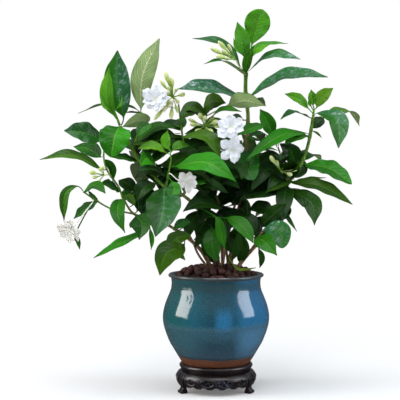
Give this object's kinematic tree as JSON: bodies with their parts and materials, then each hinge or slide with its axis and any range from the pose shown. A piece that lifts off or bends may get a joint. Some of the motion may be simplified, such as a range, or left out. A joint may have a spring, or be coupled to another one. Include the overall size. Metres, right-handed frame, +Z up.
{
  "type": "potted crepe jasmine",
  "caption": "Flowering shrub with glossy paired leaves, double white flowers and buds, in a glazed ball-shaped pot of clay pellets on a low carved wooden stand.",
  "frame": {"origin": "floor point under the pot's axis, midway in the width and depth of the shrub", "axes": "+Z up along the pot's axis, -Y the front of the picture, +X to the picture's right"},
  "size_m": [0.5389, 0.3952, 0.6315],
  "materials": {
    "glazed_stoneware": "glossy blue-green glaze with fine speckle over dark stoneware, bare red-brown clay at the foot",
    "dark_wood": "dark stained carved wood, satin lacquer",
    "potting_soil": "dark crumbly soil",
    "expanded_clay": "matt maroon-brown baked clay, pitted",
    "bark": "brown bark low down, smooth green on young shoots",
    "leaf": "glossy dark green upper side with arched veins, pale green underside",
    "young_leaf": "soft yellow-green, lightly glossy",
    "petal": "matt translucent white, cool in the shade",
    "bud": "smooth pale greenish yellow, cream at the tips"
  },
  "bodies": {
    "root": {"buds_left": "bud", "buds_middle": "bud", "buds_right": "bud", "buds_top": "bud", "buds_upper_left": "bud", "clay_pellets": "expanded_clay", "flower_left": "petal", "flower_low_left": "petal", "flower_lower": "petal", "flower_shaded": "petal", "flower_upper": "petal", "leaf_centre_blue": "leaf", "leaf_centre_bright": "leaf", "leaf_far_left": "leaf", "leaf_front_broad": "leaf", "leaf_left_curled": "leaf", "leaf_left_dark": "leaf", "leaf_left_front": "leaf", "leaf_left_thin": "leaf", "leaf_left_upright": "leaf", "leaf_low_dark": "leaf", "leaf_low_left_broad": "leaf", "leaf_low_left_drooping": "leaf", "leaf_low_left_front": "leaf", "leaf_low_left_long": "leaf", "leaf_low_right": "leaf", "leaf_low_right_silver": "leaf", "leaf_middle_left": "leaf", "leaf_middle_pale": "leaf", "leaf_middle_right": "leaf", "leaf_pale_upright": "leaf", "leaf_right_drooping": "leaf", "leaf_right_far": "leaf", "leaf_right_hanging": "leaf", "leaf_right_long": "leaf", "leaf_right_low": "leaf", "leaf_right_olive": "leaf", "leaf_right_upright": "leaf", "leaf_rim_left": "leaf", "leaf_top_left": "leaf", "leaf_top_right": "leaf", "pot": "glazed_stoneware", "root_ball": "potting_soil", "shoot_back": "bark", "stand_apron_1": "dark_wood", "stand_apron_2": "dark_wood", "stand_apron_3": "dark_wood", "stand_leg_1": "dark_wood", "stand_leg_2": "dark_wood", "stand_leg_3": "dark_wood", "stand_top": "dark_wood", "stem_centre": "bark", "stem_left": "bark", "stem_middle": "bark", "stem_right": "bark", "stem_tall": "bark", "tip_centre": "young_leaf", "tip_left": "young_leaf", "tip_right": "young_leaf", "tip_tall": "young_leaf"}
  },
  "joints": []
}
